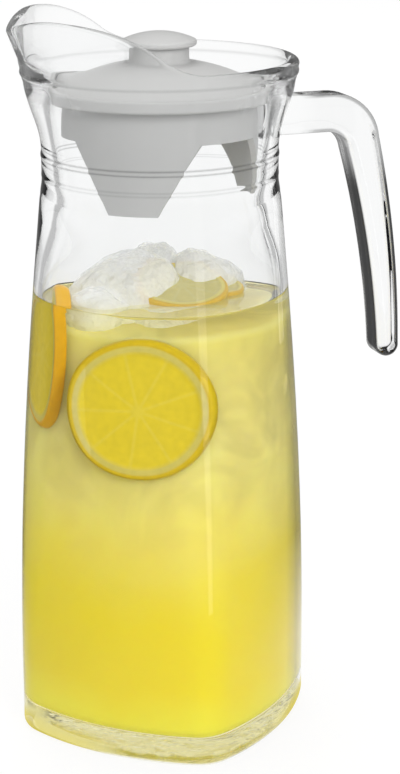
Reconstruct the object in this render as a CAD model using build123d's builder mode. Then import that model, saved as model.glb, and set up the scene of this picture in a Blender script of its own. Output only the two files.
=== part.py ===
"""A glass jug with a hook handle and a plastic lid, in millimetres.

The origin is the centre of the base, on the table. +Z is up, the handle is along +X and the spout along -X.
The body's four rounded corners lie on +X, -X, +Y and -Y.
"""
from build123d import *
import math
import os

# Body of the jug: a rounded square at the base that draws in to a round neck
BODY_HEIGHT = 194.0
BELLY_Z = 25.0
CORNER_REACH = 53.1
CORNER_RADIUS = 15.0
SIDE_BULGE = 4.6
BASE_EDGE_RADIUS = 3.0
WALL = 3.4
FLOOR_THICKNESS = 9.0
FLOOR_EDGE_RADIUS = 7.0

# How fast the corners, their radius and the bow of the sides change on the way up
CORNER_POWER = 1.75
ROUNDING_POWER = 1.5
BULGE_POWER = 0.6
BODY_STATIONS = 6
SHOULDER_STATIONS = 2

# Inside of the neck: throat, funnel, seat of the lid and mouth, with radii from the throat outwards
THROAT_RADIUS = 34.4
THROAT_DROP = 2.5
SHOULDER_HEIGHT = 33.5
SHOULDER_POWER = 1.5
FUNNEL_HEIGHT = 15.5
FUNNEL_STEP = 1.2
SEAT_HEIGHT = 20.1
SEAT_STEP = 3.0
MOUTH_HEIGHT = 12.9
MOUTH_STEP = 5.6

# Outside of the neck: wall of the throat, two moulded rings, and the ledge below the rim
THROAT_WALL = 6.9
RING_STEP = 0.9
LOWER_RING_RISE = 6.7
LOWER_RING_HALF = 1.5
LOWER_RING_STEP = 0.4
RING_RISE = 6.9
RING_HALF = 2.2
NECK_WAIST_STEP = 0.6
RIM_WALL = 3.6
LEDGE_DROP = 4.3
LEDGE_HALF = 1.3
LEDGE_INSET = 0.6
LEDGE_STEP = 1.0
FLARE_INSET = 0.9

# Spout: pouring tip, beak and the climb of the rim towards it
BEAK_TIP_RISE = 11.3
BEAK_TIP_OUT = 4.6
BEAK_RADIUS = 9.0
BEAK_WALL = 2.6
BEAK_START = 0.2
LIP_RISE = 15.8
LIP_TOP_INSET = 7.8
LIP_END_X = 5.0
LIP_FOOT_RADIUS = 24.0
LIP_OUT = 0.8
TRIM_MARGIN = 12.0
SPOUT_TURN = -3.7

# Handle: a hook joined to the neck at its top end
ARM_DROP = 22.0
ARM_DEPTH = 13.4
ELBOW_REACH = 31.1
ELBOW_OUTER_RADIUS = 18.0
ELBOW_INNER_RADIUS = 8.0
LEG_TOP_DEPTH = 11.2
LEG_LENGTH = 86.0
LEG_SPREAD = 12.3
LEG_BOW = 2.0
LEG_DEPTH = 8.7
HANDLE_WIDTH = 15.0
HANDLE_EDGE_RADIUS = 3.9
HANDLE_SEAM = 0.05

# Lid: collar in the funnel, stopper that turns in it, and the cap of the knob
COLLAR_HEIGHT = 3.8
COLLAR_LEDGE = 1.2
COLLAR_LIP = 1.9
COLLAR_EDGE_RADIUS = 0.8
TONGUE_CLEARANCE = 0.95
LID_WALL = 1.6
SKIRT_DEPTH = 11.35
DOME_EDGE = 1.0
DOME_RISE = 9.8
STEM_RADIUS = 10.2
STEM_WALL = 1.8
STEM_RISE = 4.6
STEM_FOOT_RADIUS = 1.5
TONGUE_LENGTH = 23.95
TONGUE_TOP_ANGLE = 39.0
TONGUE_FOOT_ANGLE = 14.2
TONGUE_DIRECTIONS = (236.0, 356.0)
KNOB_OVERHANG = 2.6
KNOB_EDGE_HEIGHT = 1.9
KNOB_CROWN = 2.9
KNOB_EDGE_RADIUS = 0.9
KNOB_PLUG_DEPTH = 4.0

# Gap between pieces that move past each other
CLEARANCE = 0.3

# Heights and radii that follow from the sizes above
NECK_RADIUS = THROAT_RADIUS + THROAT_WALL
THROAT_Z = BODY_HEIGHT - THROAT_DROP
FUNNEL_Z = THROAT_Z + FUNNEL_HEIGHT
SEAT_Z = FUNNEL_Z + SEAT_HEIGHT
RIM_Z = SEAT_Z + MOUTH_HEIGHT
FUNNEL_RADIUS = THROAT_RADIUS + FUNNEL_STEP
SEAT_RADIUS = FUNNEL_RADIUS + SEAT_STEP
MOUTH_RADIUS = SEAT_RADIUS + MOUTH_STEP
RIM_RADIUS = MOUTH_RADIUS + RIM_WALL
LEDGE_Z = RIM_Z - LEDGE_DROP
LEDGE_RADIUS = RIM_RADIUS - LEDGE_INSET
LIP_TOP_Z = RIM_Z + LIP_RISE
LIP_TOP_X = LIP_TOP_INSET - RIM_RADIUS
LOWER_RING_Z = BODY_HEIGHT + LOWER_RING_RISE
RING_Z = LOWER_RING_Z + RING_RISE
BEAK_TIP_REACH = RIM_RADIUS + BEAK_TIP_OUT
COLLAR_RADIUS = SEAT_RADIUS - CLEARANCE
SKIRT_RADIUS = THROAT_RADIUS - TONGUE_CLEARANCE


def turned(distance, degrees):
    """A point at a distance from the axis, in a direction."""
    return (distance * math.cos(math.radians(degrees)), distance * math.sin(math.radians(degrees)))


def eight_arcs(height, side_centre, side_radius, corner_centre, corner_radius, half_sweep):
    """A closed outline of four side arcs and four corner arcs, with the corners on the axes."""
    with BuildSketch(Plane.XY.offset(height)) as outline:
        with BuildLine():
            for face in (45, 135, 225, 315):
                CenterArc(turned(side_centre, face), side_radius, face - half_sweep, 2 * half_sweep)
                corner = turned(corner_centre, face + 45)
                CenterArc(corner, corner_radius, face + half_sweep, 90 - 2 * half_sweep)
        make_face()
    return outline.sketch


def rounded_square(height, corner, corner_radius, bulge):
    """A square with round corners and bowed sides, all its arcs tangent."""
    middle = (corner - corner_radius) / math.sqrt(2)
    side_radius = middle**2 / (2 * bulge) + corner_radius + bulge / 2
    side_centre = middle + corner_radius + bulge - side_radius
    half_sweep = math.degrees(math.atan2(middle, middle - side_centre))
    return eight_arcs(height, side_centre, side_radius, corner - corner_radius, corner_radius, half_sweep)


def round_section(height, radius):
    """A circle cut into the same eight arcs."""
    return eight_arcs(height, 0, radius, 0, radius, 22.5)


def body_section(height, inset):
    """The body's outline at a height, moved inwards by an inset."""
    share = max(0, (height - BELLY_Z) / (BODY_HEIGHT - BELLY_Z))
    corner = CORNER_REACH - (CORNER_REACH - NECK_RADIUS) * share**CORNER_POWER
    corner_radius = CORNER_RADIUS + (NECK_RADIUS - CORNER_RADIUS) * share**ROUNDING_POWER
    bulge = SIDE_BULGE * (1 - share) ** BULGE_POWER
    return corner - inset, corner_radius - inset, bulge


def shoulder_section(height, foot_z):
    """The cavity's outline where it draws in from the body to the throat."""
    share = (height - foot_z) / SHOULDER_HEIGHT
    corner, corner_radius, bulge = body_section(foot_z, WALL)
    left = 1 - share**SHOULDER_POWER
    corner = THROAT_RADIUS + (corner - THROAT_RADIUS) * left
    corner_radius = THROAT_RADIUS + (corner_radius - THROAT_RADIUS) * left
    return corner, corner_radius, bulge * left


def teardrop(height, radius, beak_radius, reach):
    """A circle drawn out to a rounded beak towards -X."""
    beak_centre = reach - beak_radius
    side = math.degrees(math.acos((radius - beak_radius) / beak_centre))
    with BuildSketch(Plane.XY.offset(height)) as outline:
        with BuildLine():
            CenterArc((0, 0), radius, side - 180, 360 - 2 * side)
            beak = CenterArc((-beak_centre, 0), beak_radius, 180 - side, 2 * side)
            Line(turned(radius, 180 - side), beak @ 0)
            Line(beak @ 1, turned(radius, 180 + side))
        make_face()
    return outline.sketch


def beak(inset, tip_wall):
    """The solid of the spout from its foot up past the lip, moved inwards by an inset."""
    top_z = LIP_TOP_Z + TRIM_MARGIN
    rise = (top_z - RIM_Z) / BEAK_TIP_RISE
    foot_radius = RIM_RADIUS - inset
    top_radius = foot_radius + LIP_OUT
    tip_reach = BEAK_TIP_REACH - tip_wall
    top_reach = foot_radius + (tip_reach - foot_radius) * rise
    beak_radius = BEAK_RADIUS - tip_wall
    with BuildPart() as spout:
        loft(
            [
                teardrop(RIM_Z, foot_radius, beak_radius, foot_radius + BEAK_START),
                teardrop(top_z, top_radius, beak_radius, top_reach),
            ],
            ruled=True,
        )
    return spout.part


def neck(grow):
    """The solid of the neck, from the top of the body to the rim, with every radius grown."""
    foot = NECK_RADIUS + grow
    waist = foot - NECK_WAIST_STEP
    ledge = LEDGE_RADIUS + grow
    rim = RIM_RADIUS + grow
    lower_ring_foot = LOWER_RING_Z - LOWER_RING_HALF
    lower_ring_top = LOWER_RING_Z + LOWER_RING_HALF
    ring_foot = RING_Z - RING_HALF
    ring_top = RING_Z + RING_HALF
    ledge_foot = LEDGE_Z - LEDGE_HALF
    ledge_top = LEDGE_Z + LEDGE_HALF
    with BuildPart() as solid:
        with BuildSketch(Plane.XZ):
            with BuildLine():
                Polyline(
                    (0, RIM_Z),
                    (0, THROAT_Z),
                    (foot, THROAT_Z),
                    (foot, BODY_HEIGHT),
                    (waist, lower_ring_foot),
                )
                ThreePointArc(
                    (waist, lower_ring_foot),
                    (waist + LOWER_RING_STEP, LOWER_RING_Z),
                    (waist, lower_ring_top),
                )
                Line((waist, lower_ring_top), (waist, ring_foot))
                ThreePointArc((waist, ring_foot), (waist + RING_STEP, RING_Z), (waist, ring_top))
                flare_top = (ledge - FLARE_INSET, ledge_foot)
                flare = Spline((waist, ring_top), flare_top, tangents=((0, 1), (0, 1)))
                Line(flare @ 1, (ledge, ledge_foot))
                ThreePointArc((ledge, ledge_foot), (ledge + LEDGE_STEP, LEDGE_Z), (ledge, ledge_top))
                Polyline((ledge, ledge_top), (rim, RIM_Z), (0, RIM_Z))
            make_face()
        revolve(axis=Axis.Z)
    return solid.part


def cavity():
    """The hollow of the jug: straight from the floor to the belly, then drawn in to the throat."""
    foot_z = THROAT_Z - SHOULDER_HEIGHT
    floor_section = rounded_square(FLOOR_THICKNESS, *body_section(FLOOR_THICKNESS, WALL))
    sections = []
    for station in range(BODY_STATIONS):
        height = BELLY_Z + (foot_z - BELLY_Z) * station / (BODY_STATIONS - 1)
        sections.append(rounded_square(height, *body_section(height, WALL)))
    for station in range(SHOULDER_STATIONS):
        height = foot_z + SHOULDER_HEIGHT * (station + 1) / (SHOULDER_STATIONS + 1)
        sections.append(rounded_square(height, *shoulder_section(height, foot_z)))
    sections.append(round_section(THROAT_Z, THROAT_RADIUS))
    with BuildPart() as hollow:
        extrude(floor_section, amount=BELLY_Z - FLOOR_THICKNESS)
        fillet(hollow.faces().sort_by(Axis.Z)[0].edges(), FLOOR_EDGE_RADIUS)
        loft(sections)
    return hollow.part


def funnel():
    """The hollow of the neck, from the throat to the mouth."""
    with BuildPart() as hollow:
        with BuildSketch(Plane.XZ):
            with BuildLine():
                wall = Spline(
                    (THROAT_RADIUS, THROAT_Z),
                    (FUNNEL_RADIUS, FUNNEL_Z),
                    (SEAT_RADIUS, SEAT_Z),
                    (MOUTH_RADIUS, RIM_Z),
                )
                Polyline(wall @ 1, (0, RIM_Z), (0, THROAT_Z), wall @ 0)
            make_face()
        revolve(axis=Axis.Z)
    return hollow.part


def above_lip():
    """All the space above the lip, whose side view climbs in an S from the rim and dips to the tip."""
    climb_radii = (LIP_RISE**2 + (LIP_END_X - LIP_TOP_X) ** 2) / (2 * LIP_RISE)
    climb_sweep = math.degrees(math.asin((LIP_END_X - LIP_TOP_X) / climb_radii))
    tip_drop = LIP_RISE - BEAK_TIP_RISE
    tip_run = LIP_TOP_X + BEAK_TIP_REACH
    tip_radius = (tip_run**2 + tip_drop**2) / (2 * tip_drop)
    tip_sweep = math.degrees(math.asin(tip_run / tip_radius))
    top = LIP_TOP_Z + 2 * TRIM_MARGIN
    side = BEAK_TIP_REACH + TRIM_MARGIN
    with BuildPart() as space:
        with BuildSketch(Plane.XZ):
            with BuildLine():
                rim_line = Line((side, RIM_Z), (LIP_END_X, RIM_Z))
                climb = JernArc(rim_line @ 1, (-1, 0), LIP_FOOT_RADIUS, -climb_sweep)
                crest = JernArc(climb @ 1, climb % 1, climb_radii - LIP_FOOT_RADIUS, climb_sweep)
                dip = JernArc(crest @ 1, (-1, 0), tip_radius, tip_sweep)
                past_tip = (dip @ 1) + (dip % 1) * TRIM_MARGIN
                Polyline(dip @ 1, past_tip, (past_tip.X, top), (side, top), rim_line @ 0)
            make_face()
        extrude(amount=side, both=True)
    return space.part


# Jug body
body_sections = []
for station in range(BODY_STATIONS):
    height = BODY_HEIGHT * station / BODY_STATIONS
    body_sections.append(rounded_square(height, *body_section(height, 0)))
body_sections.append(round_section(BODY_HEIGHT, NECK_RADIUS))

with BuildPart() as jug_body:
    loft(body_sections)
    fillet(jug_body.faces().sort_by(Axis.Z)[0].edges(), BASE_EDGE_RADIUS)
    add(neck(0))
    add(beak(0, 0), rotation=(0, 0, SPOUT_TURN))
    add(cavity(), mode=Mode.SUBTRACT)
    add(funnel(), mode=Mode.SUBTRACT)
    add(beak(RIM_WALL, BEAK_WALL), rotation=(0, 0, SPOUT_TURN), mode=Mode.SUBTRACT)
    add(above_lip(), rotation=(0, 0, SPOUT_TURN), mode=Mode.SUBTRACT)
jug_body.part.label = "jug_body"


# Jug handle: its side view, cut to lie against the neck
arm_z = RIM_Z - ARM_DROP
arm_top = arm_z + ARM_DEPTH / 2
arm_foot = arm_z - ARM_DEPTH / 2
leg_top_x = NECK_RADIUS + ELBOW_REACH
leg_end_x = leg_top_x + LEG_SPREAD
leg_end_z = arm_z - LEG_LENGTH
outer_corner = (leg_top_x + LEG_TOP_DEPTH / 2, arm_top)
inner_corner = (leg_top_x - LEG_TOP_DEPTH / 2, arm_foot)

with BuildPart() as jug_handle:
    with BuildSketch(Plane.XZ) as hook:
        with BuildLine():
            outer_leg = SagittaArc(outer_corner, (leg_end_x + LEG_DEPTH / 2, leg_end_z), LEG_BOW)
            inner_leg = SagittaArc(inner_corner, (leg_end_x - LEG_DEPTH / 2, leg_end_z), LEG_BOW)
            TangentArc(outer_leg @ 1, inner_leg @ 1, tangent=outer_leg % 1)
            Polyline(outer_corner, (THROAT_RADIUS, arm_top), (THROAT_RADIUS, arm_foot), inner_corner)
        make_face()
        fillet(hook.vertices().sort_by_distance((*outer_corner, 0))[0], ELBOW_OUTER_RADIUS)
        fillet(hook.vertices().sort_by_distance((*inner_corner, 0))[0], ELBOW_INNER_RADIUS)
    extrude(amount=HANDLE_WIDTH / 2, both=True)
    side_edges = jug_handle.faces().filter_by(Axis.Y).edges()
    long_edges = side_edges.filter_by(lambda edge: edge.center().X > THROAT_RADIUS + CLEARANCE)
    fillet(long_edges, HANDLE_EDGE_RADIUS)
    add(neck(HANDLE_SEAM), mode=Mode.SUBTRACT)
jug_handle.part.label = "jug_handle"


# Lid collar: a ring with a ledge for the stopper
collar_top = SEAT_Z + COLLAR_HEIGHT
ledge_z = SEAT_Z + COLLAR_LEDGE
recess_radius = COLLAR_RADIUS - COLLAR_LIP
collar_bore = SKIRT_RADIUS + CLEARANCE

with BuildPart() as lid_collar:
    with BuildSketch(Plane.XZ):
        with BuildLine():
            Polyline(
                (collar_bore, SEAT_Z),
                (COLLAR_RADIUS, SEAT_Z),
                (COLLAR_RADIUS, collar_top),
                (recess_radius, collar_top),
                (recess_radius, ledge_z),
                (collar_bore, ledge_z),
                close=True,
            )
        make_face()
    revolve(axis=Axis.Z)
    fillet(lid_collar.edges().filter_by(GeomType.CIRCLE).group_by(SortBy.RADIUS)[-1], COLLAR_EDGE_RADIUS)
lid_collar.part.label = "lid_collar"


# Lid stopper: dome, hollow stem, skirt and tongues
flange_radius = recess_radius - CLEARANCE
flange_z = ledge_z + CLEARANCE
dome_edge_z = flange_z + DOME_EDGE
dome_top_z = dome_edge_z + DOME_RISE
dome_radius = (flange_radius**2 + DOME_RISE**2) / (2 * DOME_RISE)
dome_centre_z = dome_top_z - dome_radius
stem_top_z = dome_top_z + STEM_RISE
stem_bore = STEM_RADIUS - STEM_WALL
skirt_bore = SKIRT_RADIUS - LID_WALL
skirt_z = SEAT_Z - SKIRT_DEPTH
tongue_z = skirt_z - TONGUE_LENGTH


def on_dome(radius, sphere_radius):
    """A point of the dome's section at a distance from the axis."""
    return (radius, dome_centre_z + math.sqrt(sphere_radius**2 - radius**2))


def tongue(direction):
    """A tapering blade of the skirt's wall that hangs from its lower edge."""
    top_half = SKIRT_RADIUS * math.sin(math.radians(TONGUE_TOP_ANGLE))
    foot_half = SKIRT_RADIUS * math.sin(math.radians(TONGUE_FOOT_ANGLE))
    with BuildPart() as blade:
        with BuildSketch(Plane.XY.offset(tongue_z)):
            Circle(SKIRT_RADIUS)
            Circle(skirt_bore, mode=Mode.SUBTRACT)
        extrude(amount=TONGUE_LENGTH + LID_WALL)
        with BuildSketch(Plane.YZ.rotated((0, 0, direction))):
            with BuildLine():
                Polyline(
                    (-foot_half, tongue_z),
                    (foot_half, tongue_z),
                    (top_half, skirt_z),
                    (top_half, skirt_z + LID_WALL),
                    (-top_half, skirt_z + LID_WALL),
                    (-top_half, skirt_z),
                    close=True,
                )
            make_face()
        extrude(amount=SKIRT_RADIUS + LID_WALL, mode=Mode.INTERSECT)
    return blade.part


with BuildPart() as lid_stopper:
    with BuildSketch(Plane.XZ) as stopper_profile:
        inner_sphere = dome_radius - LID_WALL
        middle_radius = (STEM_RADIUS + flange_radius) / 2
        with BuildLine():
            outer_dome = ThreePointArc(
                on_dome(STEM_RADIUS, dome_radius),
                on_dome(middle_radius, dome_radius),
                (flange_radius, dome_edge_z),
            )
            inner_dome = ThreePointArc(
                on_dome(skirt_bore, inner_sphere),
                on_dome(middle_radius, inner_sphere),
                on_dome(stem_bore, inner_sphere),
            )
            Polyline(
                outer_dome @ 1,
                (flange_radius, flange_z),
                (SKIRT_RADIUS, flange_z),
                (SKIRT_RADIUS, skirt_z),
                (skirt_bore, skirt_z),
                inner_dome @ 0,
            )
            Polyline(inner_dome @ 1, (stem_bore, stem_top_z), (STEM_RADIUS, stem_top_z), outer_dome @ 0)
        make_face()
        stem_foot = (*on_dome(STEM_RADIUS, dome_radius), 0)
        fillet(stopper_profile.vertices().sort_by_distance(stem_foot)[0], STEM_FOOT_RADIUS)
    revolve(axis=Axis.Z)
    for direction in TONGUE_DIRECTIONS:
        add(tongue(direction))
lid_stopper.part.label = "lid_stopper"


# Knob cap: a domed disc with a plug in the bore of the stem
knob_radius = STEM_RADIUS + KNOB_OVERHANG
knob_edge_z = stem_top_z + KNOB_EDGE_HEIGHT

with BuildPart() as knob_cap:
    with BuildSketch(Plane.XZ) as knob_profile:
        with BuildLine():
            crown_radius = (knob_radius**2 + KNOB_CROWN**2) / (2 * KNOB_CROWN)
            crown_sweep = math.degrees(math.asin(knob_radius / crown_radius))
            crown_centre = (0, knob_edge_z + KNOB_CROWN - crown_radius)
            crown = CenterArc(crown_centre, crown_radius, 90 - crown_sweep, crown_sweep)
            Polyline(
                crown @ 0,
                (knob_radius, stem_top_z),
                (stem_bore, stem_top_z),
                (stem_bore, stem_top_z - KNOB_PLUG_DEPTH),
                (0, stem_top_z - KNOB_PLUG_DEPTH),
                crown @ 1,
            )
        make_face()
        fillet(knob_profile.vertices().group_by(Axis.X)[-1], KNOB_EDGE_RADIUS)
    revolve(axis=Axis.Z)
knob_cap.part.label = "knob_cap"


os.makedirs("parts", exist_ok=True)
for piece in (jug_body, jug_handle, lid_collar, lid_stopper, knob_cap):
    export_step(piece.part, f"parts/{piece.part.label}.step")
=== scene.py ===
"""The looks of a lidded glass jug: clear glass, a pale plastic lid, and the iced lemon drink inside it."""
import bmesh
import bpy
import math
import numpy as np
from mathutils import Euler, Matrix, Vector, noise


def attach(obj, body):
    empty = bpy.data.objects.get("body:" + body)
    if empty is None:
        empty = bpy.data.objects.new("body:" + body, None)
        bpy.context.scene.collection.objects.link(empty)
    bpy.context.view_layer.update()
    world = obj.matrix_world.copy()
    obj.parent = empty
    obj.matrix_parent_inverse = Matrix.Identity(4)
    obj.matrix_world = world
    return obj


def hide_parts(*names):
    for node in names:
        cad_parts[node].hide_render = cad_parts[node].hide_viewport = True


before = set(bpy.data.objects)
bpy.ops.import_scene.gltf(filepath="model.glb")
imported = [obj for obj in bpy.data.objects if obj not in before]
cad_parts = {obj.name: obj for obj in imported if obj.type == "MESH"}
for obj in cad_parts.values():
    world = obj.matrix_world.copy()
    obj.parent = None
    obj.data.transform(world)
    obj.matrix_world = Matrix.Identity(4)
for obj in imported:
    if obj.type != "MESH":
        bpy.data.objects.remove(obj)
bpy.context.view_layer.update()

# Sizes below are in millimetres and angles in degrees; meshes are written in metres
MM = 0.001

# How finely the glass is meshed: points around, degrees along a small arc, and steps up the wall
AROUND = 192
ARC_STEP = 15
BASE_RINGS = 40
BASE_SHARES = (0.03, 0.97)
BODY_MESH_Z = 6.0
BODY_MESH = 3.0
NECK_MESH = 1.0
RING_MESH_Z = 199.0
RING_MESH = 0.25
FLARE_MESH = 1.2
LEDGE_MESH_Z = 232.6
LEDGE_MESH = 0.35
RIM_RINGS = 16
FUNNEL_MESH = 1.5
HOLLOW_MESH = 2.25
FLOOR_EDGE_STEPS = 8
FLOOR_SHARES = (0.85, 0.6, 0.35, 0.12)

# Body of the jug, as in the solids
BODY_HEIGHT = 194.0
BODY_TOP_SHARE = 0.995
BELLY_Z = 25.0
CORNER_REACH = 53.1
CORNER_RADIUS = 15.0
SIDE_BULGE = 4.6
CORNER_POWER = 1.75
ROUNDING_POWER = 1.5
BULGE_POWER = 0.6
BASE_EDGE_RADIUS = 3.0
WALL = 3.4
FLOOR_Z = 9.0
FLOOR_EDGE_RADIUS = 4.0
NECK_RADIUS = 41.3

# Pressed stipple under the base: its limits as shares of the base, and its lumps
STIPPLE_START = (0.1, 0.25)
STIPPLE_EDGE = 0.86
STIPPLE_FADE = 0.08
STIPPLE_SIZE = 4.0
STIPPLE_PLANE = 3.0
STIPPLE_LEAST = 0.4
STIPPLE_LUMP = 0.5

# Inside of the neck
SHOULDER_Z = 158.0
THROAT_Z = 191.5
THROAT_RADIUS = 34.4
SHOULDER_POWER = 1.5
SHOULDER_EASE = 0.15
SHOULDER_LEAST = 0.002
FUNNEL_Z = (191.5, 207.0, 227.1, 240.0)
FUNNEL_RADII = (34.4, 35.6, 38.6, 44.2)

# Outside of the neck; each ring has its height, half its width and its relief
WAIST_RADIUS = 40.7
WAIST_RUN = 5.0
RINGS = ((200.7, 1.0, 0.1), (207.6, 1.3, 0.24))
RING_POWER = 1.5
FLARE_FOOT_Z = 209.8
FLARE_TOP_Z = 234.4
FLARE_TOP_RADIUS = 46.3
LEDGE_START = 2.4
LEDGE_RUN = 4.4
LEDGE_RADIUS = 47.2
LEDGE_Z = 235.7
LEDGE_HALF = 1.0
LEDGE_STEP = 0.25
LEDGE_END_Z = LEDGE_Z + LEDGE_HALF

# Rim and spout
RIM_Z = 240.0
RIM_RADIUS = 47.8
RIM_WALL = 3.6
RIM_ROUND = 1.7
LIP_RISE = 15.8
LIP_TAPER = 12.0
LIP_TOP_X = -40.0
LIP_END_X = 5.0
LIP_FOOT_RADIUS = 24.0
LIP_OUT = 0.8
LIP_ROUNDS = 6
BEAK_START = 0.2
BEAK_TIP_RISE = 11.3
BEAK_TIP_REACH = 52.4
BEAK_RADIUS = 9.0
BEAK_WALL = 2.6
SPOUT_DIRECTION = 176.3

# Handle, and its points along the arm, the elbow, the leg and the rounded end
ARM_ROOT_X = 37.5
ARM_TOP_Z = 224.7
ARM_FOOT_Z = 211.3
OUTER_CORNER_X = 78.0
INNER_CORNER_X = 66.8
LEG_END_X = 84.7
LEG_END_Z = 132.0
LEG_DEPTH = 8.7
LEG_BOW = 2.0
ELBOW_OUTER_RADIUS = 18.0
ELBOW_INNER_RADIUS = 8.0
HANDLE_WIDTH = 15.0
HANDLE_EDGE_RADIUS = 3.9
HANDLE_EDGE_LIMIT = 0.96
ARM_STEPS = 8
ELBOW_STEPS = 14
LEG_STEPS = 26
END_STEPS = 8
END_STEPS_TO_CLOSE = 8.4

# How strongly glass and drink bend light, and by how much less the neck and rim do
GLASS_BEND = 1.5
DRINK_BEND = 1.33
DRINK_WALL_BEND = 1.005
NECK_UNBEND = 0.3
NECK_UNBEND_Z = (172, 188)
RIM_UNBEND = 0.05
RIM_UNBEND_Z = (227, 233)
WET_FOOT_Z = 1.5
WET_RISE = 0.8

# Layers on the glass: how strong each is, and where it starts and is full; with four limits it also fades
HANDLE_X = (50, 56)
# Painted shade: the handle's leg, most of all low down, and the rim darken where they turn away
LEG_EDGE = 0.7
LEG_EDGE_Z = (212, 192)
RIM_EDGE = 0.04
RIM_EDGE_BAND = (-2.6, -1.6)
RIM_EDGE_REACH = 60.0
# Painted shade: thin dark lines on the flanks of the neck's rings and of the ledge
RING_LINE = 0.34
RING_LINE_LEVEL = 2.8
RING_FLANK = 0.6
LEDGE_LINE = 1.4 * RING_LINE
LEDGE_LINE_LEVEL = 0.4
LINE_INSIDE = 1.5
RING_LINE_OUTSIDE = 2.0
LEDGE_LINE_OUTSIDE = 1.0
# Painted shade: grey outlines where the body and the neck turn away
BODY_BRINK_Z = (6, 12, 148, 160)
NECK_BRINK = 0.6
NECK_BRINK_Z = (152, 166, 226, 234)
NECK_BRINK_INSIDE = 2.0
ASIDE = (0.55, 0.9)
BASE_FROST = 0.9
BASE_FROST_TOP_Z = 1.4
# Painted drink glow: the sides of the base let light through, tinted yellow
BASE_DRINK_GLOW = 0.9
BASE_DRINK_GLOW_SHARE = (0.6, 0.85)
BASE_DRINK_GLOW_Z = (8, 5)
RIM_EASE = 0.14
RIM_EASE_Z = (224, 230)
LEAST_EASE = 0.001

# Tint of the glass, the painted shade of its edges, ring lines and outlines, the painted drink glow in its
# base, and how far they show as the glass turns away
GLASS_TINT = (0.965, 0.97, 0.97, 1)
# Painted shade, near black, for the handle's leg and the rim
PAINTED_EDGE_SHADE = (0.002, 0.002, 0.002, 1)
EDGE_STOPS = ((0.25, 0.0), (0.4, 1.0))
# Painted shade for those lines
PAINTED_LINE_SHADE = (0.05, 0.05, 0.05, 1)
# Painted shade for those outlines
PAINTED_BRINK_SHADE = (0.38, 0.38, 0.36, 1)
BRINK_STOPS = ((0.68, 0.0), (0.8, 0.9), (0.9, 0.7), (0.97, 0.4))
# Painted drink glow: yellow for the light let through the stippled base
STIPPLE_DRINK_GLOW = (0.82, 0.77, 0.4, 1)
EASE_TINT = (0.98, 0.98, 0.98, 1)
# Painted drink glow, deeper yellow, for the sides of the base
DRINK_GLOW_COLOUR = (0.86, 0.79, 0.3, 1)
MOTTLE_SCALE = 190.0
MOTTLE_RANGE = (0.44, 0.56, 0.3, 1.0)

# Lid
LID_COLOUR = (182, 182, 181)
LID_ROUGHNESS = 0.42
LID_GRAIN_SCALE = 900.0
LID_GRAIN = (0.05, 0.0002)

# Clear drink, and how it creeps up the glass
DRINK_COLOUR = (244, 238, 190)
DRINK_Z = 158.5
DRINK_OVERLAP = 0.12
CREEP = 1.3
CREEP_RUN = 1.4
SURFACE_INSETS = (0.5, 1.2, 2.2, 4, 8, 14, 22, 30)

# Cloudy part of the drink, how far it stays from the glass, low down and near the surface, and its colours
CLOUD_DROP = 8.0
CLOUD_GAP_LOW = 0.1
CLOUD_GAP_HIGH = 7.0
CLOUD_GAP_Z = (30, 120)
CLOUD_GAP_DIRECTION = 232.0
CLOUD_GAP_WIDTH = (80, 50)
CLOUD_GAP_LEAST = 0.3
CLOUD_CROWN = 4.0
CLOUD_CROWN_SHARES = (0.15, 0.4, 0.65, 0.85)
CLOUD_OVER = 15.0
CLOUD_STOPS = (
    (0.1, (253, 240, 70)),
    (0.2, (250, 230, 30)),
    (0.33, (250, 230, 56)),
    (0.46, (249, 232, 104)),
    (0.6, (245, 235, 152)),
    (0.75, (243, 234, 166)),
    (0.95, (229, 220, 145)),
)
CLOUD_LIFT = 0.03
CLOUD_SWIRL = (28.0, 3.0)
CLOUD_SHAPES = (34.0, 2.0, 1.6)
CLOUD_SHAPES_RANGE = (0.38, 0.62, 0.9, 1.07)
CLOUD_SHAPES_Z = (70, 105)

# Lemon slices, by share of their radius from the core to the rind
SEGMENTS = 9
SLICE_AROUND = 216
SLICE_FACE = (0.03, 0.83, 20)
SLICE_DIP = 0.35
SLICE_DIP_RUN = 0.03
SLICE_RIM = (0.85, 0.88, 0.9, 0.915, 0.93, 0.945)
SLICE_WOBBLE = (0.012, 0.006)
MEMBRANE_EDGE = (0.25, 0.8)
CORE_EDGE = (0.07, 0.13)
PITH_START = (0.815, 0.845)
RIND_START = (0.905, 0.93)
PULP = (420.0, 4.0)
PULP_TONES = (0.86, 1.08)
PULP_BUMP = (0.25, 0.0004)

# Ice: how it is meshed, how square it is, and the height and pitch of its lumps and dents
ICE_AROUND = 48
ICE_LEVELS = 32
ICE_POWER = 2.5
ICE_LUMPS = (0.12, 1.6)
ICE_DENTS = (0.05, 4.5)
ICE_TINT = (0.98, 0.99, 1.0, 1)
ICE_ROUGHNESS = 0.03
ICE_WAVES = (170.0, 3.0)
ICE_BUMP = (1.0, 0.003)
FLOATING_BEND = 1.29
FLOATING_CLEARNESS = 0.38
SUNKEN_BEND = 1.06
SUNKEN_CLEARNESS = 1.0

# Ice above and below the surface: name, middle, size, turns and seed
FLOATING_ICE = (
    ("ice_left", (-11, 5, 158.5), (38, 32, 27), (12, -24, 24), 1.3),
    ("ice_right", (20.5, 12, 157.5), (36, 28, 27), (-10, 20, 40), 4.1),
    ("ice_middle", (3, -8, 147), (34, 26, 16), (8, 10, 15), 7.7),
    ("ice_back", (4, 25, 160), (28, 24, 24), (5, -10, 50), 9.2),
    ("ice_corner", (-23.5, -6, 156), (18, 20, 15), (15, 0, 20), 3.3),
)
SUNKEN_ICE = (
    ("ice_low_right", (27, -20, 122), (22, 22, 30), (10, 15, 45), 2.6),
    ("ice_low_front", (13, -27, 98), (24, 20, 26), (25, 5, 45), 5.9),
)

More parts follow.
